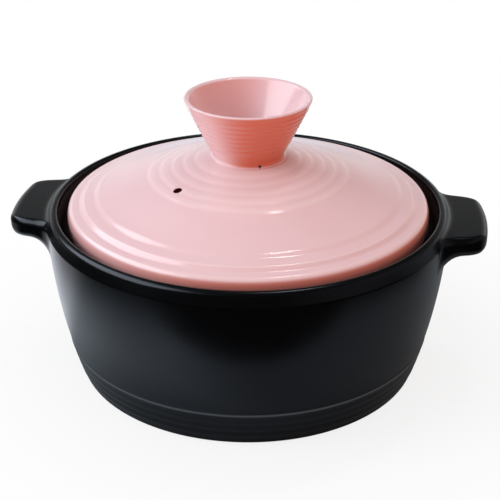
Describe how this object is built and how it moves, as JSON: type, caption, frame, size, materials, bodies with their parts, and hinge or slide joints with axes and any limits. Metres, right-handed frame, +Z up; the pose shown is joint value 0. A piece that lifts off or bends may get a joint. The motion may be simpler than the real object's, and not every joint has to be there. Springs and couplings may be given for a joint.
{
  "type": "stew pot",
  "caption": "Round earthenware stew pot with lug handles at the rim, and a stepped domed lid that lifts off a ledge inside the rim by its cup-shaped knob.",
  "frame": {"origin": "on the table, under the middle of the pot's base", "axes": "+Z up along the pot's axis, +X along the handles towards handle_right"},
  "size_m": [0.2676, 0.2264, 0.1584],
  "materials": {
    "pot_glaze": "satin black glaze",
    "lid_glaze": "gloss pink glaze"
  },
  "bodies": {
    "pot": {"pot_body": "pot_glaze", "handle_left": "pot_glaze", "handle_right": "pot_glaze"},
    "lid": {"lid_dome": "lid_glaze", "lid_knob": "lid_glaze"}
  },
  "joints": [
    {"name": "lid_lift", "type": "slide", "parent": "pot", "child": "lid", "axis": [0, 0, 1], "range_m": [0, 0.12]}
  ]
}
